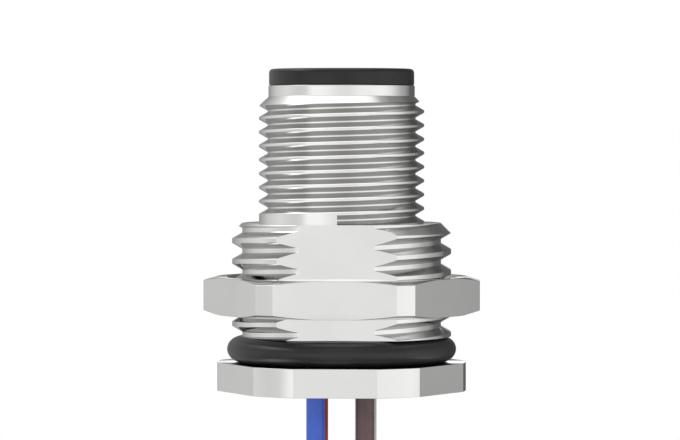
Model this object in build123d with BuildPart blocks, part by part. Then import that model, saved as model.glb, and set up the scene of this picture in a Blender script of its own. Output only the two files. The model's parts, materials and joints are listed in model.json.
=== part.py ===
"""Panel receptacle with an M12 male face and four flying leads, in millimetres.

The frame stands on the panel: z = 0 is the top face of the hexagonal flange, where the panel lies,
+Z runs along the axis to the mating end, and -Y is the side with the flat milled along the panel thread.
"""

import os
from math import cos, radians, sin, tan

from build123d import *

os.makedirs("parts", exist_ok=True)

# Housing: hexagonal flange
flange_across_flats = 17.0
flange_corner_diameter = 18.0
flange_thickness = 2.05
flange_edge_break = 0.12

# Housing: panel section, M16 x 1.5, a plain cylinder at the crest of its thread
panel_thread_diameter = 15.85
panel_section_length = 10.05
panel_section_chamfer = 0.72
panel_flat_distance = 6.68
seal_groove_diameter = 12.4
seal_groove_width = 1.87

# Housing: coupling section, M12 x 1, a plain cylinder at the crest of its thread
coupling_thread_diameter = 11.95
coupling_section_length = 9.92
neck_diameter = 10.58
neck_length = 0.78

# Housing: bores
carrier_bore_diameter = 9.6
carrier_shoulder_height = 6.0
rear_bore_diameter = 8.4

# Lock nut
nut_across_flats = 18.0
nut_corner_diameter = 20.0
nut_thickness = 2.7
nut_height = 3.47
nut_chamfer_diameter = 18.2
nut_chamfer_angle = 17.0
nut_clearance = 0.075
nut_countersink = 0.4

# Panel seal
seal_width = 2.06
seal_thickness = 1.83
seal_corner = 0.56
seal_stretch_gap = 0.03
seal_lift = 0.02

# Contact carrier
collar_diameter = 10.5
collar_height = 1.28
collar_edge_break = 0.25
cup_diameter = 8.5
cup_depth = 8.2
cup_mouth_chamfer = 0.2
key_width = 1.2
key_height = 0.75
key_setback = 1.0
press_gap = 0.02

# Contacts
pin_circle_diameter = 5.0
pin_diameter = 1.0
pin_recess = 1.4
pin_point_length = 0.35
pin_point_diameter = 0.5
solder_cup_length = 2.5
solder_cup_depth = 2.2
solder_cup_bore = 0.95

# Leads
wire_diameter = 1.37
conductor_diameter = 0.75
potting_recess = 0.3
lead_names = ("brown", "white", "red", "blue")
lead_angles = (-45.0, 45.0, 135.0, 225.0)

# Spare length of the leads, gathered in a throat and wound into one flat coil below the housing
wire_pitch = 1.5
throat_height = -6.2
coil_centre_height = -24.5
coil_entry_angle = 50.0
coil_entry_radius = 10.6
coil_turns = 3.45
tip_bend_radius = 3.2
tip_bend_angle = 80.0
tip_length = 3.8
tip_root = 1.6
tip_lanes = (-0.5, 0.5, 1.5, -1.5)

# Cable tie on the coil
tie_angle = 265.0
tie_width = 2.4
tie_thickness = 0.8
tie_head = 3.0

# Heights and radii that follow
panel_top = panel_section_length
body_top = panel_top + coupling_section_length
collar_top = body_top + collar_height
cup_floor = collar_top - cup_depth
pin_tip = collar_top - pin_recess
cup_mouth = carrier_shoulder_height - solder_cup_length
potting_face = potting_recess - flange_thickness
pin_radius = pin_diameter / 2
wire_radius = wire_diameter / 2
conductor_radius = conductor_diameter / 2
lead_circle = pin_circle_diameter / 2


def finish(builder, name):
    """Label a finished piece and write it to its own file."""
    builder.part.label = name
    export_step(builder.part, f"parts/{name}.step")


def hexagon_trim(diameter, across_flats):
    """What a hexagon leaves of a disc of this diameter, for milling six flats on a turned rim."""
    Circle(diameter)
    RegularPolygon(across_flats / 2, 6, major_radius=False, mode=Mode.SUBTRACT)


# Housing, turned from hexagonal brass bar: one profile, then six flats on the flange and one flat
# along the panel section
with BuildPart() as housing:
    rim = flange_corner_diameter / 2
    crest = panel_thread_diameter / 2
    groove_floor = seal_groove_diameter / 2
    coupling_crest = coupling_thread_diameter / 2
    neck = neck_diameter / 2
    bore = carrier_bore_diameter / 2
    rear = rear_bore_diameter / 2
    neck_base = body_top - neck_length
    cone = coupling_crest - neck
    with BuildSketch(Plane.XZ):
        with BuildLine():
            Polyline(
                (rear, -flange_thickness),
                (rim - flange_edge_break, -flange_thickness),
                (rim, flange_edge_break - flange_thickness),
                (rim, -flange_edge_break),
                (rim - flange_edge_break, 0),
                (groove_floor, 0),
                (groove_floor, seal_groove_width),
                (crest, seal_groove_width),
                (crest, panel_top - panel_section_chamfer),
                (crest - panel_section_chamfer, panel_top),
                (coupling_crest, panel_top),
                (coupling_crest, neck_base - cone),
                (neck, neck_base),
                (neck, body_top),
                (bore, body_top),
                (bore, carrier_shoulder_height),
                (rear, carrier_shoulder_height),
                close=True,
            )
        make_face()
    revolve(axis=Axis.Z)
    with BuildSketch(Plane.XY.offset(-flange_thickness)):
        hexagon_trim(flange_corner_diameter, flange_across_flats)
    extrude(amount=flange_thickness, mode=Mode.SUBTRACT)
    with BuildSketch(Plane.XY):
        with Locations((0, -panel_flat_distance)):
            Rectangle(2 * rim, rim, align=(Align.CENTER, Align.MAX))
    extrude(amount=panel_top, mode=Mode.SUBTRACT)
finish(housing, "housing")

# Lock nut. Its bore clears the crests of the panel thread.
with BuildPart() as lock_nut:
    nut_bore = panel_thread_diameter / 2 + nut_clearance
    nut_rim = nut_corner_diameter / 2
    nut_face = nut_chamfer_diameter / 2
    nut_top = nut_height + nut_thickness
    nut_drop = (nut_rim - nut_face) * tan(radians(nut_chamfer_angle))
    with BuildSketch(Plane.XZ):
        with BuildLine():
            Polyline(
                (nut_bore + nut_countersink, nut_height),
                (nut_face, nut_height),
                (nut_rim, nut_height + nut_drop),
                (nut_rim, nut_top - nut_drop),
                (nut_face, nut_top),
                (nut_bore + nut_countersink, nut_top),
                (nut_bore, nut_top - nut_countersink),
                (nut_bore, nut_height + nut_countersink),
                close=True,
            )
        make_face()
    revolve(axis=Axis.Z)
    with BuildSketch(Plane.XY.offset(nut_height)):
        hexagon_trim(nut_corner_diameter, nut_across_flats)
    extrude(amount=nut_thickness, mode=Mode.SUBTRACT)
finish(lock_nut, "lock_nut")

# Panel seal, an O-ring of 2 mm section, squeezed a little in the groove under the panel thread. It is
# soft, so its round section stays plain, eight flats that lie on the groove's faces.
with BuildPart() as panel_seal:
    seal_middle = groove_floor + seal_stretch_gap + seal_width / 2
    with BuildSketch(Plane.XZ) as seal_section:
        with Locations((seal_middle, seal_lift + seal_thickness / 2)):
            Rectangle(seal_width, seal_thickness)
        chamfer(seal_section.vertices(), length=seal_corner)
    revolve(axis=Axis.Z)
finish(panel_seal, "panel_seal")

# Contact carrier, moulded: a barrel pressed into the housing, a collar over its rim, a cup for the
# mating plug with one coding rib, and four holes for the contacts
with BuildPart() as contact_carrier:
    with BuildSketch(Plane.XY.offset(carrier_shoulder_height)):
        Circle(carrier_bore_diameter / 2 - press_gap)
    extrude(amount=collar_top - carrier_shoulder_height)
    with BuildSketch(Plane.XY.offset(body_top)):
        Circle(collar_diameter / 2)
    extrude(amount=collar_height)
    chamfer(contact_carrier.faces().sort_by(Axis.Z)[-1].edges(), length=collar_edge_break)
    with BuildSketch(Plane.XY.offset(cup_floor)):
        Circle(cup_diameter / 2)
    extrude(amount=cup_depth, mode=Mode.SUBTRACT)
    mouth = contact_carrier.edges().filter_by(GeomType.CIRCLE).group_by(Axis.Z)[-1].sort_by(SortBy.RADIUS)[0]
    chamfer(mouth, length=cup_mouth_chamfer)
    with BuildSketch(Plane.XY.offset(cup_floor)):
        with Locations((0, -cup_diameter / 2 - press_gap)):
            Rectangle(key_width, key_height + press_gap, align=(Align.CENTER, Align.MIN))
    extrude(amount=cup_depth - key_setback)
    with BuildSketch(Plane.XY.offset(carrier_shoulder_height)):
        with PolarLocations(lead_circle, len(lead_names), start_angle=lead_angles[0]):
            Circle(pin_radius + press_gap)
    extrude(amount=cup_floor - carrier_shoulder_height, mode=Mode.SUBTRACT)
finish(contact_carrier, "contact_carrier")

# One contact on the axis: a pin with a blunt point, and a solder cup that stops against the carrier
with BuildPart() as contact:
    cup_radius = solder_cup_bore / 2
    cup_bottom = cup_mouth + solder_cup_depth
    with BuildSketch(Plane.XZ):
        with BuildLine():
            Polyline(
                (0, pin_tip),
                (0, cup_bottom),
                (cup_radius, cup_bottom),
                (cup_radius, cup_mouth),
                (wire_radius, cup_mouth),
                (wire_radius, carrier_shoulder_height),
                (pin_radius, carrier_shoulder_height),
                (pin_radius, pin_tip - pin_point_length),
                (pin_point_diameter / 2, pin_tip),
                close=True,
            )
        make_face()
    revolve(axis=Axis.Z)

for number, angle in enumerate(lead_angles, start=1):
    with BuildPart() as pin:
        with PolarLocations(lead_circle, 1, start_angle=angle):
            add(contact.part)
    finish(pin, f"pin_{number}")

# Solder joints: each is a conductor's tinned end and its solder, one lump that fills the cup
with BuildPart() as solder_joints:
    with BuildSketch(Plane.XY.offset(cup_mouth)):
        with PolarLocations(lead_circle, len(lead_names), start_angle=lead_angles[0]):
            Circle(cup_radius)
    extrude(amount=solder_cup_depth)
finish(solder_joints, "solder_joints")

# Potting resin, which fills the rear bore round the solder cups and the first stretch of each lead
with BuildPart() as rear_potting:
    with BuildSketch(Plane.XY.offset(potting_face)):
        Circle(rear_bore_diameter / 2 - press_gap)
        with PolarLocations(lead_circle, len(lead_names), start_angle=lead_angles[0]):
            Circle(wire_radius, mode=Mode.SUBTRACT)
    extrude(amount=carrier_shoulder_height - potting_face)
finish(rear_potting, "rear_potting")

# Coil of the spare length: a flat ring of four lanes, one for each lead, under the throat where the
# leads come together and turn along the outermost turn
entry = radians(coil_entry_angle)
coil_plane = Plane.XZ.shift_origin((0, 0, coil_centre_height))
coil_half_width = 1.5 * wire_pitch + wire_radius
coil_outer_radius = coil_entry_radius - wire_pitch / 2 + wire_radius
coil_inner_radius = coil_entry_radius - coil_turns * wire_pitch - wire_radius
throat_half_width = lead_circle * cos(radians(45)) + wire_radius
throat_rise = throat_height - coil_centre_height
with BuildPart() as wire_coil:
    with BuildSketch(coil_plane):
        Circle(coil_outer_radius)
        with BuildLine():
            Polyline(
                (-throat_half_width, throat_rise),
                (throat_half_width, throat_rise),
                Vector(coil_entry_radius + wire_radius, 0).rotate(Axis.Z, coil_entry_angle),
                (0, 0),
                close=True,
            )
        make_face()
        Circle(coil_inner_radius, mode=Mode.SUBTRACT)
    extrude(amount=coil_half_width, both=True)
finish(wire_coil, "wire_coil")

# Each lead's bare tip leaves the innermost turn on a small bend and points across the open middle
# of the coil
last_turn_radius = coil_entry_radius - coil_turns * wire_pitch
last_angle = entry - radians(360 * coil_turns)
tip_heading = last_angle - radians(tip_bend_angle)
tip_centre = (last_turn_radius - tip_bend_radius) * Vector(cos(last_angle), sin(last_angle), 0)
tip_start = tip_centre + tip_bend_radius * Vector(cos(tip_heading), sin(tip_heading), 0)
tip_direction = Vector(sin(tip_heading), 0, -cos(tip_heading))
tip_base = Vector(tip_start.X, 0, tip_start.Y + coil_centre_height) - tip_direction * tip_root

# Leads: the insulated wire, straight down from its solder cup to the throat, and the bare tip
for name, angle, lane in zip(lead_names, lead_angles, tip_lanes):
    with BuildPart() as wire:
        with BuildSketch(Plane.XY.offset(throat_height)):
            with PolarLocations(lead_circle, 1, start_angle=angle):
                Circle(wire_radius)
        extrude(amount=cup_mouth - throat_height)
    finish(wire, f"{name}_wire")

    with BuildPart() as conductor:
        with BuildSketch(Plane(origin=tip_base + Vector(0, lane * wire_pitch, 0), z_dir=tip_direction)):
            Circle(conductor_radius)
        extrude(amount=tip_root + tip_length)
        add(wire_coil.part, mode=Mode.SUBTRACT)
    finish(conductor, f"{name}_conductor")

# Cable tie: a band that hugs the ring's section, with its locking head on the outside
with BuildPart() as wire_tie:
    band_inner = coil_inner_radius - tie_thickness
    band_outer = coil_outer_radius + tie_thickness
    with BuildSketch(coil_plane):
        with PolarLocations(band_inner, 1, start_angle=tie_angle):
            Rectangle(band_outer - band_inner, tie_width, align=(Align.MIN, Align.CENTER))
    extrude(amount=coil_half_width + tie_thickness, both=True)
    with BuildSketch(coil_plane):
        with PolarLocations(band_outer, 1, start_angle=tie_angle):
            Rectangle(tie_head - tie_thickness, tie_head, align=(Align.MIN, Align.CENTER))
    extrude(amount=tie_head / 2, both=True)
    add(wire_coil.part, mode=Mode.SUBTRACT)
finish(wire_tie, "wire_tie")
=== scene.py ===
"""Dresses the panel receptacle: cut threads, seal, carrier, contacts, leads and their finishes.

Shapes are worked out in millimetres, in the frame of the model, and written to their meshes in metres.
"""

import json
from math import acos, cos, pi, radians, sin, tan

import bmesh
import bpy
import numpy as np
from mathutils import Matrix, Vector

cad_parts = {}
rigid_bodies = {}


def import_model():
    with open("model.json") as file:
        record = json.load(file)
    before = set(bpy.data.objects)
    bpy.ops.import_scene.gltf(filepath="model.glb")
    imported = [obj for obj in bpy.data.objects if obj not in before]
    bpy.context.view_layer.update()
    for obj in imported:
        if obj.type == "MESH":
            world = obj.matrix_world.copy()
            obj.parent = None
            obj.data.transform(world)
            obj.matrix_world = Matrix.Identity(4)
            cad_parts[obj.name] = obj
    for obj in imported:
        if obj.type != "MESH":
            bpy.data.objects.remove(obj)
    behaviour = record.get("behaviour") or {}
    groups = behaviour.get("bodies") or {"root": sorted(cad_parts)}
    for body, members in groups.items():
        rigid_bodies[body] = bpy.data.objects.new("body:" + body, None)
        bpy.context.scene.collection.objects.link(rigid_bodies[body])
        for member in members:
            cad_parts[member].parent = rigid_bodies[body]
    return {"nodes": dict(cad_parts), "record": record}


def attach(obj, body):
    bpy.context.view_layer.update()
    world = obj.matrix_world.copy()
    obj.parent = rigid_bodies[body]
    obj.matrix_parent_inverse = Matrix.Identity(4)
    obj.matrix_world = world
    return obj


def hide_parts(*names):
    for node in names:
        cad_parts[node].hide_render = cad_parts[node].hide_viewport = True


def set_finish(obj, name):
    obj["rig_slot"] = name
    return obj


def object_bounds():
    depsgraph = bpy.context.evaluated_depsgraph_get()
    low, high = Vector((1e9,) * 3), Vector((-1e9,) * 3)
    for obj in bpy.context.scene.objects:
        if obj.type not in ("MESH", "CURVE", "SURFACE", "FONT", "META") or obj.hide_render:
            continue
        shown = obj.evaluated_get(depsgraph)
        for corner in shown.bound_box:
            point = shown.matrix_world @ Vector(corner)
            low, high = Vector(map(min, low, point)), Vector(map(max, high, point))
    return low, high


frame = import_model()
cad_low, cad_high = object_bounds()
nodes = frame["nodes"]
scene = bpy.context.scene
metres = 0.001
side_angle = radians(60.0)
ring_steps = 180
sharp_from = 26.0

# Points of a mesh that lie closer than this, in metres, become one
merge_distance = 2e-7

# Camera: it stands level with the upper part of the coupling thread, a little right of the flat
camera_distance = 261.0
camera_azimuth = radians(3.1)
camera_height = 17.12
camera_lens = 191.0
picture_centre_height = 10.25
picture_centre_left = 0.116

# Leads
wire_radius = 0.685
conductor_radius = 0.375
wire_pitch = 1.5
potting_face = -1.75
coil_centre_height = -24.5
coil_entry_angle = radians(50.0)
coil_entry_radius = 10.6
coil_turns = 3.45
points_per_turn = 16
tip_bend_radius = 3.2
tip_bend_angle = radians(80.0)
tip_length = 3.8
tip_root = 1.6
strand_rings = 40
strand_sides = 12
strand_lay = 9.0
strand_stagger = 0.07
outer_strands = 6
lead_circle = 2.5
leads = (
    ("brown", radians(-45.0), -0.5),
    ("white", radians(45.0), 0.5),
    ("red", radians(135.0), 1.5),
    ("blue", radians(225.0), -1.5),
)

# Housing
flange_flat = 8.5
flange_rim = 9.0
flange_thickness = 2.05
flange_edge_radius = 0.03
panel_crest = 7.925
panel_top = 10.05
panel_chamfer = 0.72
panel_flat_distance = 6.68
flat_cut_half_width = 12.0
flat_cut_bottom = 1.0
flat_cut_overrun = 0.6
groove_floor = 6.2
groove_width = 1.87
coupling_crest = 5.975
neck_radius = 5.29
neck_length = 0.78
body_top = 19.97
bore_radius = 4.8
shoulder_height = 6.0
rear_radius = 4.2

# Threads: pitch, crest radius, depth, the root's share of what the flanks leave of a pitch, then the first
# groove's angle and height and its number of turns
panel_thread = (1.5, 7.925, 0.735, 0.47, radians(0.0), 1.25, 6.4)
coupling_thread = (1.0, 5.975, 0.625, 0.34, radians(270.0), 10.35, 9.2)
thread_slope = tan(radians(30.0))
crest_break = 0.035
cutter_margin = 0.3

# Lock nut
nut_flat = 9.0
nut_rim = 10.0
nut_face = 9.1
nut_bottom = 3.47
nut_thickness = 2.7
nut_slope = tan(radians(17.0))
nut_bore = 8.0
nut_countersink = 0.4
nut_edge_radius = 0.025

# Seal
seal_ring_radius = 7.26
seal_half_width = 1.03
seal_half_height = 0.915
seal_height = 0.935
seal_steps = 40

# Carrier and contacts
barrel_radius = 4.78
collar_radius = 5.25
collar_top = 21.18
cup_radius = 4.25
cup_floor = 13.05
key_half_width = 0.6
key_height = 0.75
key_top = 20.25
key_root = 0.2
pin_radius = 0.5
pin_tip = 19.85
pin_point = 0.35
solder_cup_mouth = 3.5
solder_cup_bottom = 5.7
solder_cup_bore = 0.475

# Potting: how high its face creeps up the wall and the leads, and how far from them
potting_radius = rear_radius - 0.02
wall_creep = 0.16
wall_creep_reach = 0.3
lead_creep = 0.14
lead_creep_reach = 0.22

# Tie
tie_angle = radians(265.0)
tie_half_width = 1.2
tie_thickness = 0.8
tie_gap = 0.02
tie_turn = 1.1
tie_edge = 0.25
tie_head = 3.0
tie_head_foot = 0.1
tie_head_edge = 0.35

# Studio: these lengths are in metres, apart from the wall's radius, which is in millimetres
floor_half = 3.0
floor_gap = 0.0003
white_from = 0.07
white_to = 0.22
sky_light = 0.55
wall_rows = 226
wall_columns = 144
wall_radius = 900.0
lamp_target = (0, 0, 0.008)
lamps = (
    ("key", (-0.40, -0.05, 0.44), 0.16, 1.0),
    ("fill", (0.15, -0.50, 0.30), 0.4, 0.9),
)


def surface(name, vertices, faces, sharp_angle=sharp_from):
    """A closed mesh from points in millimetres: doubles merged, normals outwards, sharp where it bends."""
    mesh = bpy.data.meshes.new(name)
    mesh.from_pydata((np.asarray(vertices, float) * metres).tolist(), [], faces)
    shell = bmesh.new()
    shell.from_mesh(mesh)
    bmesh.ops.remove_doubles(shell, verts=shell.verts, dist=merge_distance)
    bmesh.ops.dissolve_degenerate(shell, edges=shell.edges, dist=merge_distance)
    bmesh.ops.recalc_face_normals(shell, faces=shell.faces)
    shell.to_mesh(mesh)
    shell.free()
    mesh.shade_smooth()
    mesh.set_sharp_from_angle(angle=radians(sharp_angle))
    piece = bpy.data.objects.new(name, mesh)
    scene.collection.objects.link(piece)
    return piece


def grid_faces(rows, columns, close_rows, close_columns, first=0):
    """Quads that join point (row, column) to its neighbours, each way round where the grid closes."""
    row = np.arange(rows if close_rows else rows - 1)[:, None]
    column = np.arange(columns if close_columns else columns - 1)[None, :]
    next_row = (row + 1) % rows
    next_column = (column + 1) % columns
    corners = (
        row * columns + column,
        row * columns + next_column,
        next_row * columns + next_column,
        next_row * columns + column,
    )
    return (np.stack(corners, axis=-1).reshape(-1, 4) + first).tolist()


def softened(corners, radii, steps=5):
    """A closed profile with each corner rounded: the curve from one tangent point to the next is a
    quadratic with the corner as its middle point, (1 - t)^2 A + 2 t (1 - t) C + t^2 B."""
    corners = np.asarray(corners, float)
    count = len(corners)
    share = np.linspace(0, 1, steps)[:, None]
    points = []
    for index, radius in enumerate(radii):
        corner = corners[index]
        if radius == 0:
            points.append(corner[None, :])
            continue
        before = corners[index - 1] - corner
        after = corners[(index + 1) % count] - corner
        start = corner + before / np.linalg.norm(before) * radius
        end = corner + after / np.linalg.norm(after) * radius
        points.append((1 - share) ** 2 * start + 2 * share * (1 - share) * corner + share**2 * end)
    return np.concatenate(points)


def turned(name, radius, height, angles, centre=(0.0, 0.0), closed=True, sharp_angle=sharp_from):
    """A turned solid: point (k, m) is (radius cos angle, radius sin angle, height). The profile k closes on
    itself, or else starts and ends on the axis, and radius and height may change with the angle m."""
    radius, height, angle = np.broadcast_arrays(radius, height, angles[None, :])
    x = centre[0] + radius * np.cos(angle)
    y = centre[1] + radius * np.sin(angle)
    vertices = np.stack((x, y, height), axis=-1).reshape(-1, 3)
    faces = grid_faces(radius.shape[0], radius.shape[1], closed, True)
    return surface(name, vertices, faces, sharp_angle)


def around(steps, extra=()):
    """Angles once round, in equal steps, with the extra ones sorted in."""
    equal = np.arange(steps) * 2 * pi / steps
    return np.unique(np.round(np.concatenate((equal, np.mod(np.asarray(extra, float), 2 * pi))), 7))


def hexagon_distance(angles, flat):
    """Distance from the axis to a hexagon with a flat towards -Y: flat over the cosine of the angle from
    the middle of the nearest flat."""
    from_flat = np.mod(angles, side_angle) - side_angle / 2
    return flat / np.cos(from_flat)


def hexagon_corners(flat, rim):
    """The angles at which a rim of this radius gives way to the flats."""
    half = acos(flat / rim)
    middles = side_angle / 2 + np.arange(6) * side_angle
    return np.concatenate((middles - half, middles + half))


def cut_away(piece, cutters):
    """Cuts the cutters from the piece, one after the other, puts the new mesh in place and removes them."""
    for cutter in cutters:
        cut = piece.modifiers.new("cut", "BOOLEAN")
        cut.object = cutter
        cut.operation = "DIFFERENCE"
        cut.solver = "EXACT"
    bpy.context.view_layer.update()
    finished = piece.evaluated_get(bpy.context.evaluated_depsgraph_get())
    mesh = bpy.data.meshes.new_from_object(finished)
    piece.modifiers.clear()
    piece.data = mesh
    for cutter in cutters:
        bpy.data.objects.remove(cutter)


def thread_cutter(name, thread):
    """The space of a right-handed thread: a section of root, flanks at 30 degrees and broken crests, carried
    along a helix that climbs one pitch a turn, point (s, j) at angle + 2 pi s and height + pitch s."""
    pitch, crest, depth, root_share, angle, height, turns = thread
    root = crest - depth
    half_root = (pitch - 2 * depth * thread_slope) * root_share / 2
    half_crest = half_root + depth * thread_slope
    half_break = half_crest - crest_break * thread_slope
    widened = half_crest + crest_break / 2
    half_radius = np.array([root, crest - crest_break, crest, crest + cutter_margin])
    half_height = np.array([half_root, half_break, widened, widened])
    section_radius = np.concatenate((half_radius, half_radius[::-1]))
    section_height = np.concatenate((-half_height, half_height[::-1]))
    turn = np.arange(int(turns * ring_steps) + 1) / ring_steps
    along = angle + 2 * pi * turn[:, None]
    x = section_radius * np.cos(along)
    y = section_radius * np.sin(along)
    z = height + pitch * turn[:, None] + section_height
    vertices = np.stack((x, y, z), axis=-1).reshape(-1, 3)
    rows = len(turn)
    columns = len(section_radius)
    faces = grid_faces(rows, columns, False, True)
    faces.append(list(range(columns)))
    faces.append(list(range((rows - 1) * columns, rows * columns)))
    return surface(name, vertices, faces)


def block(name, low, high):
    """A box between two corners."""
    xs, ys, zs = zip(low, high)
    corners = [(x, y, z) for x in xs for y in ys for z in zs]
    faces = [[0, 1, 3, 2], [4, 6, 7, 5], [0, 4, 5, 1], [2, 3, 7, 6], [0, 2, 6, 4], [1, 5, 7, 3]]
    return surface(name, corners, faces)


def belongs(piece, slot, body, *replaced):
    """The piece takes its finish from a slot, rides on a body and stands for its CAD nodes."""
    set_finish(piece, slot)
    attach(piece, body)
    if replaced:
        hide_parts(*replaced)
    return piece


# Camera
right = Vector((cos(camera_azimuth), sin(camera_azimuth), 0))
back = Vector((sin(camera_azimuth), -cos(camera_azimuth), 0))
camera = bpy.data.objects.new("camera", bpy.data.cameras.new("camera"))
scene.collection.objects.link(camera)
camera.data.lens = camera_lens
camera.data.clip_start = 0.01
camera.data.clip_end = 20.0
camera.location = (back * camera_distance + Vector((0, 0, camera_height))) * metres
aim = (right * -picture_centre_left + Vector((0, 0, picture_centre_height))) * metres
camera.rotation_mode = "QUATERNION"
camera.rotation_quaternion = (aim - camera.location).to_track_quat("-Z", "Y")
scene.camera = camera


# Leads: each is one open spline, straight down from the potting, through the throat, and round the coil
def in_coil(radius, angle, lane):
    """A point of the coil: radius and angle in its plane, lane across it."""
    return (radius * cos(angle), lane * wire_pitch, coil_centre_height + radius * sin(angle))


last_radius = coil_entry_radius - coil_turns * wire_pitch
last_angle = coil_entry_angle - 2 * pi * coil_turns
bend_heading = last_angle - tip_bend_angle
bend_x = (last_radius - tip_bend_radius) * cos(last_angle)
bend_z = coil_centre_height + (last_radius - tip_bend_radius) * sin(last_angle)
tip_x = bend_x + tip_bend_radius * cos(bend_heading)
tip_z = bend_z + tip_bend_radius * sin(bend_heading)
tip_direction = np.array([sin(bend_heading), 0, -cos(bend_heading)])


def lead_route(angle, lane):
    """Control points of one lead. The coil's turns are a spiral whose radius falls by a pitch a turn, drawn
    a little large because the spline runs inside its control points."""
    x = lead_circle * cos(angle)
    y = lead_circle * sin(angle)
    outward = 2 / (1.5 + 0.5 * cos(2 * pi / points_per_turn))
    route = [
        (x, y, potting_face + 0.5),
        (x, y, -4.6),
        (x, y, -7.4),
        (x + 0.3 * (3.2 - x), y, -10.2),
        (3.6 + 0.15 * x, (y + lane * wire_pitch) / 2, -12.9),
        in_coil(coil_entry_radius * 1.03, coil_entry_angle + radians(16.0), lane),
    ]
    for step in range(int(coil_turns * points_per_turn)):
        turned_by = step / points_per_turn
        radius = coil_entry_radius - wire_pitch * turned_by
        route.append(in_coil(radius * outward, coil_entry_angle - 2 * pi * turned_by, lane))
    for share in (0.15, 0.5, 0.85):
        heading = last_angle - tip_bend_angle * share
        reach = tip_bend_radius * 1.02
        route.append((bend_x + reach * cos(heading), lane * wire_pitch, bend_z + reach * sin(heading)))
    route.append((tip_x, lane * wire_pitch, tip_z))
    route.append((tip_x + tip_direction[0], lane * wire_pitch, tip_z + tip_direction[2]))
    return route


def strands(name, lane):
    """A bare tip: one strand on the line and six round it, each a tube whose centre turns about the line once
    in 9 mm, point (s, j) at line(s) + lay(s) + strand radius (cos j, sin j)."""
    strand = conductor_radius / 3
    across = np.array([-tip_direction[2], 0, tip_direction[0]])
    side = np.array([0.0, 1.0, 0.0])
    along = np.linspace(-tip_root, tip_length, strand_rings)[:, None, None]
    start = np.array([tip_x, lane * wire_pitch, tip_z])
    ring = (np.arange(strand_sides) * 2 * pi / strand_sides)[None, :, None]
    vertices = []
    faces = []
    for number in range(outer_strands + 1):
        lay = 2 * pi * (number / outer_strands + along / strand_lay)
        off = 0.0 if number == outer_strands else 2 * strand
        shorter = np.clip(along, None, tip_length - strand_stagger * (number % 3))
        centre = start + shorter * tip_direction + off * (np.cos(lay) * across + np.sin(lay) * side)
        tube = centre + strand * (np.cos(ring) * across + np.sin(ring) * side)
        first = number * strand_rings * strand_sides
        last = first + (strand_rings - 1) * strand_sides
        faces += grid_faces(strand_rings, strand_sides, False, True, first)
        faces.append(list(range(first, first + strand_sides)))
        faces.append(list(range(last, last + strand_sides)))
        vertices.append(tube.reshape(-1, 3))
    return surface(name, np.concatenate(vertices), faces, sharp_angle=50.0)


for colour, angle, lane in leads:
    line = bpy.data.curves.new(f"{colour}_lead", "CURVE")
    line.dimensions = "3D"
    spline = line.splines.new("NURBS")
    route = lead_route(angle, lane)
    spline.points.add(len(route) - 1)
    for point, spot in zip(spline.points, route):
        point.co = (*(np.array(spot) * metres), 1.0)
        point.radius = wire_radius * metres
    spline.order_u = 3
    spline.use_endpoint_u = True
    line.resolution_u = 6
    line.bevel_depth = 1.0
    line.bevel_resolution = 8
    line.use_fill_caps = True
    lead = bpy.data.objects.new(f"{colour}_lead", line)
    scene.collection.objects.link(lead)
    belongs(lead, f"{colour}_insulation", "housing", f"{colour}_wire", "wire_coil")
    tip = belongs(strands(f"{colour}_tip", lane), "tinned_copper", "housing", f"{colour}_conductor")

# Housing: turned blank with six flats, then the long flat and both threads cut into it
cone = coupling_crest - neck_radius
neck_base = body_top - neck_length
profile = softened(
    [
        (rear_radius, -flange_thickness),
        (flange_rim, -flange_thickness),
        (flange_rim, 0),
        (groove_floor, 0),
        (groove_floor, groove_width),
        (panel_crest, groove_width),
        (panel_crest, panel_top - panel_chamfer),
        (panel_crest - panel_chamfer, panel_top),
        (coupling_crest, panel_top),
        (coupling_crest, neck_base - cone),
        (neck_radius, neck_base),
        (neck_radius, body_top),
        (bore_radius, body_top),
        (bore_radius, shoulder_height),
        (rear_radius, shoulder_height),
    ],
    [0.15, flange_edge_radius, flange_edge_radius, 0, 0, 0, 0.03, 0.03, 0, 0, 0.03, 0.05, 0.08, 0, 0],
    steps=9,
)
angles = around(ring_steps, hexagon_corners(flange_flat, flange_rim))
radius = np.repeat(profile[:, :1], len(angles), axis=1)
height = profile[:, 1:]
inset = 0.5 * np.clip(flange_rim - radius, 0, flange_edge_radius)
on_flange = (height <= 0) & (radius > groove_floor + 0.5)
flats = hexagon_distance(angles, 1.0)[None, :] * (flange_flat - inset)
radius = np.where(on_flange, np.minimum(radius, flats), radius)
housing = turned("housing_body", radius, height, angles)
long_flat = block(
    "long_flat",
    (-flat_cut_half_width, -flat_cut_half_width, flat_cut_bottom),
    (flat_cut_half_width, -panel_flat_distance, panel_top + flat_cut_overrun),
)
cutters = [
    long_flat,
    thread_cutter("panel_thread_space", panel_thread),
    thread_cutter("coupling_thread_space", coupling_thread),
]
cut_away(housing, cutters)
housing.data.shade_smooth()
housing.data.set_sharp_from_angle(angle=radians(17.0))
belongs(housing, "nickel_plate", "housing", "housing")

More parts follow.
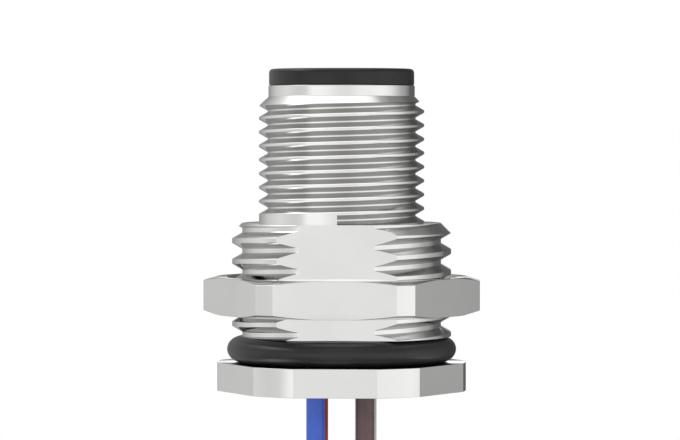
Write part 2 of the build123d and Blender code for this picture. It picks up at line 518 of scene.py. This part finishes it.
# Lock nut: each angle has its own profile, with the chamfer where the rim stands out past its circle
nut_corners = (hexagon_corners(nut_flat, nut_rim), hexagon_corners(nut_flat, nut_face))
angles = around(ring_steps, np.concatenate(nut_corners))
rim = np.minimum(nut_rim, hexagon_distance(angles, nut_flat))
stand_out = np.clip(rim - nut_face, 0, None)
nut_top = nut_bottom + nut_thickness
slant = stand_out * np.sqrt(1 + nut_slope**2)
on_slant = np.minimum(nut_edge_radius, slant) / np.sqrt(1 + nut_slope**2)
on_face = nut_edge_radius - np.minimum(nut_edge_radius, slant)
inner_radius = rim - on_slant - on_face
inner_drop = (stand_out - on_slant) * nut_slope
share = np.linspace(0, 1, 5)[:, None]
edge_radius = (1 - share) ** 2 * inner_radius + (1 - (1 - share) ** 2) * rim
edge_drop = (
    (1 - share) ** 2 * inner_drop
    + 2 * share * (1 - share) * stand_out * nut_slope
    + share**2 * (stand_out * nut_slope + nut_edge_radius)
)
plain = np.ones_like(rim)
face_radius = np.minimum(nut_face, inner_radius)
radius = np.vstack(
    [
        plain * nut_bore,
        plain * (nut_bore + nut_countersink),
        face_radius,
        edge_radius,
        edge_radius[::-1],
        face_radius,
        plain * (nut_bore + nut_countersink),
        plain * nut_bore,
    ]
)
height = np.vstack(
    [
        plain * (nut_bottom + nut_countersink),
        plain * nut_bottom,
        plain * nut_bottom,
        nut_bottom + edge_drop,
        nut_top - edge_drop[::-1],
        plain * nut_top,
        plain * nut_top,
        plain * (nut_top - nut_countersink),
    ]
)
nut = turned("lock_nut_body", radius, height, angles, sharp_angle=24.0)
belongs(nut, "nickel_plate", "lock_nut", "lock_nut")

# Seal: a ring of round section
section = np.arange(seal_steps)[:, None] * 2 * pi / seal_steps
seal = turned(
    "seal_ring",
    seal_ring_radius + seal_half_width * np.cos(section),
    seal_height + seal_half_height * np.sin(section),
    around(ring_steps),
    sharp_angle=60.0,
)
belongs(seal, "seal_rubber", "housing", "panel_seal")

# Carrier: barrel, collar and cup in one profile, with the coding rib on the wall of the cup
profile = softened(
    [
        (0, shoulder_height),
        (barrel_radius, shoulder_height),
        (barrel_radius, body_top),
        (collar_radius, body_top),
        (collar_radius, collar_top),
        (cup_radius, collar_top),
        (cup_radius, cup_floor),
        (0, cup_floor),
    ],
    [0, 0, 0, 0.14, 0.34, 0.18, 0.12, 0],
    steps=7,
)
carrier = turned("carrier_body", profile[:, :1], profile[:, 1:], around(steps=144), closed=False)
rib = block(
    "coding_rib",
    (-key_half_width, -cup_radius - key_root, cup_floor - key_root),
    (key_half_width, key_height - cup_radius, key_top),
)
joined = bmesh.new()
joined.from_mesh(carrier.data)
joined.from_mesh(rib.data)
joined.to_mesh(carrier.data)
joined.free()
bpy.data.objects.remove(rib)
carrier.data.set_sharp_from_angle(angle=radians(30.0))
belongs(carrier, "black_plastic", "housing", "contact_carrier")

# Contacts: pin, rounded point and solder cup in one profile
profile = softened(
    [
        (0, solder_cup_bottom),
        (solder_cup_bore, solder_cup_bottom),
        (solder_cup_bore, solder_cup_mouth),
        (wire_radius, solder_cup_mouth),
        (wire_radius, shoulder_height),
        (pin_radius, shoulder_height),
        (pin_radius, pin_tip - pin_point),
        (pin_radius / 2, pin_tip),
        (0, pin_tip),
    ],
    [0, 0, 0, 0, 0, 0, 0.15, 0.12, 0],
)
angles = around(steps=40)
for number, (colour, angle, lane) in enumerate(leads, start=1):
    centre = (lead_circle * cos(angle), lead_circle * sin(angle))
    contact = turned(f"contact_{number}", profile[:, :1], profile[:, 1:], angles, centre, closed=False)
    belongs(contact, "gold_contacts", "housing", f"pin_{number}")

# Potting: its face creeps up the wall of the bore and up each lead, a sum of falling exponentials of distance
angles = around(steps=120)
reach = np.linspace(0, potting_radius, num=60)[:, None]
x = reach * np.cos(angles)
y = reach * np.sin(angles)
creep = wall_creep * np.exp((reach - rear_radius) / wall_creep_reach)
for colour, angle, lane in leads:
    away = np.hypot(x - lead_circle * cos(angle), y - lead_circle * sin(angle)) - wire_radius
    creep = creep + lead_creep * np.exp(-np.clip(away, 0, None) / lead_creep_reach)
edge = np.full((1, len(angles)), potting_radius)
radius = np.vstack([np.broadcast_to(reach, x.shape), edge, np.zeros_like(edge)])
height = np.vstack([potting_face - creep, np.full((2, len(angles)), shoulder_height)])
potting = turned("potting_body", radius, height, angles, closed=False, sharp_angle=60.0)
belongs(potting, "potting_resin", "housing", "rear_potting")

# Tie: a band of rounded section round the coil's section, and a locking head on the outside
band_inner = coil_entry_radius - coil_turns * wire_pitch - wire_radius
band_outer = coil_entry_radius - wire_pitch / 2 + wire_radius
half_coil = 1.5 * wire_pitch + wire_radius
outward = np.array([cos(tie_angle), 0, sin(tie_angle)])
sideways = np.array([-sin(tie_angle), 0, cos(tie_angle)])
across = np.array([0.0, 1.0, 0.0])
path = softened(
    [
        (band_inner, -half_coil),
        (band_outer, -half_coil),
        (band_outer, half_coil),
        (band_inner, half_coil),
    ],
    [tie_turn] * 4,
    steps=9,
)
step_along = np.roll(path, -1, axis=0) - np.roll(path, 1, axis=0)
step_along /= np.linalg.norm(step_along, axis=1)[:, None]
normal = np.stack((step_along[:, 1], -step_along[:, 0]), axis=1)
section = softened(
    [
        (-tie_half_width, tie_gap),
        (tie_half_width, tie_gap),
        (tie_half_width, tie_thickness),
        (-tie_half_width, tie_thickness),
    ],
    [tie_edge] * 4,
)
spot = path[:, None, :] + normal[:, None, :] * section[None, :, 1:]
vertices = (
    np.array([0, 0, coil_centre_height])
    + spot[..., :1] * outward
    + spot[..., 1:] * across
    + section[None, :, :1] * sideways
)
faces = grid_faces(len(path), len(section), True, True)
tie = surface("coil_tie", vertices.reshape(-1, 3), faces, sharp_angle=40.0)
belongs(tie, "tie_nylon", "housing", "wire_tie")
frame_of_head = np.stack((sideways, across, outward))
head = block(
    "tie_head",
    (-tie_head / 2, -tie_head / 2, band_outer + tie_head_foot),
    (tie_head / 2, tie_head / 2, band_outer + tie_head),
)
corners = np.array([vertex.co for vertex in head.data.vertices]) @ frame_of_head
corners[:, 2] += coil_centre_height * metres
head.data.vertices.foreach_set("co", corners.ravel())
bevel = head.modifiers.new("edges", "BEVEL")
bevel.width = tie_head_edge * metres
bevel.segments = 3
belongs(head, "tie_nylon", "housing")


class Signal:
    """A number that varies over a surface. Python's operators on it add the Math nodes."""

    def __init__(self, finish, socket):
        self.finish = finish
        self.socket = socket

    def __add__(self, other):
        return self.finish.maths("ADD", self, other)

    def __rsub__(self, other):
        return self.finish.maths("SUBTRACT", other, self)

    def __mul__(self, other):
        return self.finish.maths("MULTIPLY", self, other)

    def __pow__(self, other):
        return self.finish.maths("POWER", self, other)

    __radd__ = __add__
    __rmul__ = __mul__


class Finish:
    """One procedural material, or the world: node() makes any node from its type, settings and inputs."""

    def __init__(self, owner, constants=None):
        owner.use_nodes = True
        self.owner = owner
        self.tree = owner.node_tree
        self.shader = self.tree.nodes.get("Principled BSDF")
        for name, value in (constants or {}).items():
            self.shader.inputs[name].default_value = value

    def node(self, kind, settings=None, inputs=None, output=0):
        made = self.tree.nodes.new(kind)
        for name, value in (settings or {}).items():
            setattr(made, name, value)
        for name, value in (inputs or {}).items():
            self.feed(made.inputs[name], value)
        return Signal(self, made.outputs[output])

    def feed(self, socket, value):
        if isinstance(value, Signal):
            self.tree.links.new(value.socket, socket)
        else:
            socket.default_value = value

    def maths(self, operation, first, second=0.0):
        return self.node("ShaderNodeMath", {"operation": operation}, {0: first, 1: second})

    def place(self):
        """Object coordinates."""
        return self.node("ShaderNodeTexCoord", output="Object")

    def noise(self, where, scale, detail=3.0):
        inputs = {"Vector": where, "Scale": scale, "Detail": detail}
        return self.node("ShaderNodeTexNoise", {"noise_dimensions": "3D"}, inputs)

    def between(self, value, low, high):
        """A smooth step of the value, from 0 at low to 1 at high."""
        inputs = {"Value": value, "From Min": low, "From Max": high}
        return self.node("ShaderNodeMapRange", {"interpolation_type": "SMOOTHSTEP"}, inputs)

    def blend(self, factor, first, second):
        """One colour into another."""
        ends = [colour if isinstance(colour, Signal) else (*colour, 1.0) for colour in (first, second)]
        return self.node("ShaderNodeMix", {"data_type": "RGBA"}, {0: factor, 6: ends[0], 7: ends[1]}, 2)

    def upward(self):
        """The upward part of the surface's own normal."""
        normal = self.node("ShaderNodeTexCoord", output="Normal")
        return self.node("ShaderNodeSeparateXYZ", inputs={0: normal}, output="Z")

    def turning(self):
        """Radius and height as a vector, for marks that run round the axis."""
        apart = self.node("ShaderNodeSeparateXYZ", inputs={0: self.place()}).socket.node
        x, y, z = [Signal(self, output) for output in apart.outputs]
        from_axis = (x * x + y * y) ** 0.5
        return self.node("ShaderNodeCombineXYZ", inputs={0: from_axis, 1: z, 2: (x + y) * 0.02})

    def dressed(self, colour, roughness, bump, strength, depth):
        """Joins what varies to the shader, and gives the material back."""
        relief = self.node(
            "ShaderNodeBump", inputs={"Height": bump, "Strength": strength, "Distance": depth}
        )
        self.feed(self.shader.inputs["Base Color"], colour)
        self.feed(self.shader.inputs["Roughness"], roughness)
        self.feed(self.shader.inputs["Normal"], relief)
        return self.owner


def nickel():
    """Bright nickel over turned brass: fine marks round the axis, a slight cloudiness, and rougher flanks on
    the threads, which the cutter leaves less smooth. The flanks' colour is also darker, a painted shade for
    the shade between the turns of the thread. A flank leans by about 60 degrees from upright."""
    finish = Finish(bpy.data.materials.new("nickel plate"), {"Metallic": 1.0})
    cloud = finish.noise(finish.place(), 180.0)
    marks = finish.noise(finish.turning(), 9000.0, 2.0)
    steep = finish.maths("ABSOLUTE", finish.upward())
    flank_painted_shade_and_roughness = finish.between(steep, 0.78, 0.83) * (1 - finish.between(steep, 0.89, 0.93))
    plain = finish.blend(finish.between(cloud, 0.35, 0.7), (0.765, 0.762, 0.752), (0.8, 0.798, 0.79))
    # Painted shade: the thread flanks take a darker nickel colour, standing in for the shade between the
    # turns
    colour = finish.blend(flank_painted_shade_and_roughness, plain, (0.62, 0.618, 0.61))
    roughness = 0.035 + finish.between(cloud, 0.3, 0.7) * 0.02 + marks * 0.02 + flank_painted_shade_and_roughness * 0.03
    return finish.dressed(colour, roughness, marks, 0.08, 0.000003)


def moulded(name, dark, light, rough, grain, strength=0.15, shine=0.5):
    """A moulded or cast surface: slight cloud in its colour, fine grain in its relief."""
    finish = Finish(bpy.data.materials.new(name), {"Specular IOR Level": shine})
    cloud = finish.noise(finish.place(), 400.0)
    fine = finish.noise(finish.place(), grain)
    colour = finish.blend(finish.between(cloud, 0.3, 0.7), dark, light)
    return finish.dressed(colour, rough + cloud * 0.08, fine, strength, 0.00001)


def insulation(name, dark, light):
    """Extruded insulation: faint cloud in the colour, and the fine pebble of the extruded skin."""
    finish = Finish(bpy.data.materials.new(name))
    cloud = finish.noise(finish.place(), 700.0)
    pebble = finish.noise(finish.place(), 7000.0, 2.0)
    colour = finish.blend(finish.between(cloud, 0.3, 0.7), dark, light)
    return finish.dressed(colour, 0.28 + cloud * 0.1, pebble, 0.1, 0.00001)


def plated(name, dark, light, rough):
    """A plated metal with soft cloud."""
    finish = Finish(bpy.data.materials.new(name), {"Metallic": 1.0})
    cloud = finish.noise(finish.place(), 900.0)
    colour = finish.blend(cloud, dark, light)
    return finish.dressed(colour, rough + cloud * 0.1, cloud, 0.1, 0.00001)


materials = {
    "nickel_plate": nickel(),
    "black_plastic": moulded(
        "black moulding", (0.01, 0.01, 0.011), (0.016, 0.016, 0.017), 0.2, 5000.0, 0.1, 0.36
    ),
    "seal_rubber": moulded(
        "seal rubber", (0.014, 0.014, 0.015), (0.022, 0.022, 0.023), 0.26, 3500.0, 0.1, 0.4
    ),
    "potting_resin": moulded("potting resin", (0.018, 0.018, 0.02), (0.03, 0.03, 0.033), 0.18, 1500.0, 0.08),
    "tie_nylon": moulded("natural nylon", (0.62, 0.61, 0.56), (0.74, 0.73, 0.68), 0.32, 2500.0),
    "gold_contacts": plated("gold plate", (0.80, 0.58, 0.22), (0.88, 0.68, 0.32), 0.16),
    "tinned_copper": plated("tinned copper", (0.60, 0.60, 0.58), (0.76, 0.75, 0.73), 0.24),
    "brown_insulation": insulation("brown insulation", (0.125, 0.07, 0.07), (0.155, 0.094, 0.094)),
    "white_insulation": insulation("white insulation", (0.66, 0.66, 0.65), (0.73, 0.73, 0.72)),
    "red_insulation": insulation("red insulation", (0.52, 0.012, 0.01), (0.6, 0.018, 0.014)),
    "blue_insulation": insulation("blue insulation", (0.056, 0.14, 0.7), (0.072, 0.17, 0.8)),
    "coiled_leads": insulation("coiled leads", (0.22, 0.18, 0.26), (0.3, 0.24, 0.34)),
}
slot_of_node = {sub["node"]: sub["material_slot"] for sub in frame["record"]["subparts"]}
for piece in list(scene.collection.objects):
    if piece.type in ("MESH", "CURVE"):
        slot = slot_of_node.get(piece.name) or piece.get("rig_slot")
        piece.data.materials.clear()
        piece.data.materials.append(materials[slot])
for name, piece in nodes.items():
    piece.data.materials.clear()
    piece.data.materials.append(materials[slot_of_node[name]])

# Floor: pale under the object, with its shadow, and fading to white around it
floor_mesh = bpy.data.meshes.new("floor")
floor_height = cad_low.z - floor_gap
floor_mesh.from_pydata(
    [(x * floor_half, y * floor_half, floor_height) for x, y in ((-1, -1), (1, -1), (1, 1), (-1, 1))],
    [],
    [(0, 1, 2, 3)],
)
floor = bpy.data.objects.new("floor", floor_mesh)
scene.collection.objects.link(floor)
floor.visible_glossy = False
paper = Finish(
    bpy.data.materials.new("pale floor"),
    {"Base Color": (0.87, 0.87, 0.86, 1.0), "Roughness": 0.8},
)


def seen_directly(finish):
    """1 for a ray of the camera, of a gloss reflection or through glass, and 0 for the light on surfaces."""
    path = finish.node("ShaderNodeLightPath").socket.node
    rays = ("Is Camera Ray", "Is Glossy Ray", "Is Transmission Ray")
    seen_by_camera, seen_in_gloss, seen_through = [Signal(finish, path.outputs[ray]) for ray in rays]
    return finish.node(
        "ShaderNodeMath",
        {"operation": "ADD", "use_clamp": True},
        {0: seen_by_camera + seen_in_gloss, 1: seen_through},
    )


distance = paper.node("ShaderNodeVectorMath", {"operation": "LENGTH"}, {0: paper.place()}, "Value")
fade = paper.between(distance, white_from, white_to) * seen_directly(paper)
glow = paper.node("ShaderNodeEmission", inputs={"Color": (1, 1, 1, 1), "Strength": 1.0})
mixed = paper.node(
    "ShaderNodeMixShader", inputs={0: fade, 1: Signal(paper, paper.shader.outputs[0]), 2: glow}
)
paper.feed(paper.tree.nodes["Material Output"].inputs["Surface"], mixed)
floor_mesh.materials.append(paper.owner)

# World: white where it is seen, softer where it lights
world = bpy.data.worlds.new("studio")
scene.world = world
sky = Finish(world)
seen = seen_directly(sky)
strength = seen + (1 - seen) * sky_light
light = sky.tree.nodes["Background"]
light.inputs["Color"].default_value = (1, 1, 1, 1)
sky.feed(light.inputs["Strength"], strength)

# Studio wall: a shell that only reflections see, near white in front and mostly grey behind
column = np.linspace(-pi, pi, wall_columns + 1)[:-1]
row = np.linspace(-pi / 2, pi / 2, wall_rows)
wall_azimuth, wall_height = np.meshgrid(column, row)
vertices = np.stack(
    (
        wall_radius * np.cos(wall_height) * np.sin(wall_azimuth),
        -wall_radius * np.cos(wall_height) * np.cos(wall_azimuth),
        wall_radius * np.sin(wall_height),
    ),
    axis=-1,
).reshape(-1, 3)

# Tones of the wall in bands of its height, each from side to side: 0 in front of the flat, 180 behind it
eye_level = (
    (-180, 0.2), (-171, 0.3), (-150, 0.4), (-140, 0.5), (-120, 0.72), (-92, 0.87), (-67, 0.76),
    (-56, 0.8), (-44, 1.15), (-28, 1.15), (0, 0.93), (13, 0.9), (30, 1.05), (70, 1.12), (88, 0.95),
    (110, 0.5), (122, 0.4), (140, 0.14), (171, 0.12), (180, 0.2),
)
light_behind = ((-180, 1.3), (-175, 1.3), *eye_level[1:-1], (175, 1.3), (180, 1.3))
bands = (
    (-90, ((0, 0.5),)),
    (-60, ((0, 0.5),)),
    (-42, ((-180, 0.3), (-174, 0.6), (-150, 0.6), (-110, 0.5), (0, 0.5), (60, 0.9), (95, 1.7), (125, 0.9),
           (150, 0.15), (174, 0.12), (180, 0.5))),
    (-20, ((-180, 0.3), (-174, 0.6), (-150, 0.55), (-110, 0.6), (0, 0.75), (60, 0.85), (95, 1.0), (125, 0.35),
           (150, 0.12), (174, 0.12), (180, 0.3))),
    (-8, eye_level),
    (3.2, eye_level),
    (3.6, light_behind),
    (4.6, light_behind),
    (5.8, eye_level),
    (8, eye_level),
    (16, ((-180, 0.15), (-176, 0.15), (-168, 0.3), (-160, 0.36), (-140, 0.5), (-110, 0.6), (0, 0.8),
          (90, 0.8), (120, 0.3), (150, 0.12), (180, 0.15))),
    (24, ((-180, 0.2), (-172, 0.25), (-160, 0.4), (-150, 0.5), (-130, 0.6), (-100, 0.65), (0, 0.65),
          (90, 0.6), (120, 0.3), (150, 0.12), (174, 0.12), (180, 0.2))),
    (33, ((-180, 1.3), (-174, 1.2), (-166, 0.5), (-150, 0.6), (-138, 0.75), (-120, 0.8), (-100, 0.7),
          (0, 0.55), (90, 0.45), (110, 0.3), (140, 0.15), (166, 0.13), (174, 1.0), (180, 1.3))),
    (42, ((-180, 0.9), (-160, 0.5), (-140, 0.85), (-130, 1.1), (-110, 1.7), (-97, 3.8), (-70, 3.8),
          (-58, 0.9), (0, 0.5), (90, 0.4), (135, 0.25), (165, 0.25), (180, 0.9))),
    (52, ((-180, 0.9), (-150, 0.9), (-132, 1.5), (-100, 2.5), (-70, 2.5), (-55, 0.8), (0, 0.5), (100, 0.45),
          (128, 0.3), (160, 0.3), (180, 0.9))),
    (60, ((-180, 1.0), (-150, 1.4), (-110, 1.7), (-60, 1.2), (0, 0.6), (100, 0.5), (120, 0.5), (150, 0.6),
          (180, 1.0))),
    (67, ((-180, 1.5), (90, 1.5), (115, 1.1), (140, 1.4), (180, 1.5))),
    (90, ((0, 1.6),)),
)
sides = np.degrees(column)
curves = np.array([np.interp(sides, *zip(*stops)) for height, stops in bands])
band_place = np.interp(np.degrees(row), [height for height, stops in bands], np.arange(len(bands)))
lower = np.minimum(band_place.astype(int), len(bands) - 2)
way_up = (band_place - lower)[:, None]
tone = curves[lower] * (1 - way_up) + curves[lower + 1] * way_up
wall_mesh = bpy.data.meshes.new("studio_wall")
wall_faces = grid_faces(wall_rows, wall_columns, False, True)
wall_mesh.from_pydata((vertices * metres).tolist(), [], wall_faces)
shade = wall_mesh.attributes.new("tone", "FLOAT", "POINT")
shade.data.foreach_set("value", tone.ravel())
wall = bpy.data.objects.new("studio_wall", wall_mesh)
scene.collection.objects.link(wall)
for ray in ("camera", "diffuse", "shadow", "transmission", "volume_scatter"):
    setattr(wall, f"visible_{ray}", False)
cloth = Finish(bpy.data.materials.new("studio wall"))
tones = cloth.node("ShaderNodeAttribute", {"attribute_name": "tone"}, output="Fac")
glow = cloth.node("ShaderNodeEmission", inputs={"Color": (1, 1, 1, 1), "Strength": tones})
cloth.feed(cloth.tree.nodes["Material Output"].inputs["Surface"], glow)
wall_mesh.materials.append(cloth.owner)

# Lamps: a key from the upper left and a broader fill from the front. Reflections don't show them
for name, stand, size, power in lamps:
    lamp_data = bpy.data.lights.new(name, "AREA")
    lamp_data.size = size
    lamp_data.energy = power
    lamp = bpy.data.objects.new(name, lamp_data)
    scene.collection.objects.link(lamp)
    lamp.visible_glossy = False
    lamp.location = stand
    lamp.rotation_mode = "QUATERNION"
    lamp.rotation_quaternion = (Vector(lamp_target) - lamp.location).to_track_quat("-Z", "Y")

scene.view_settings.view_transform = "Standard"
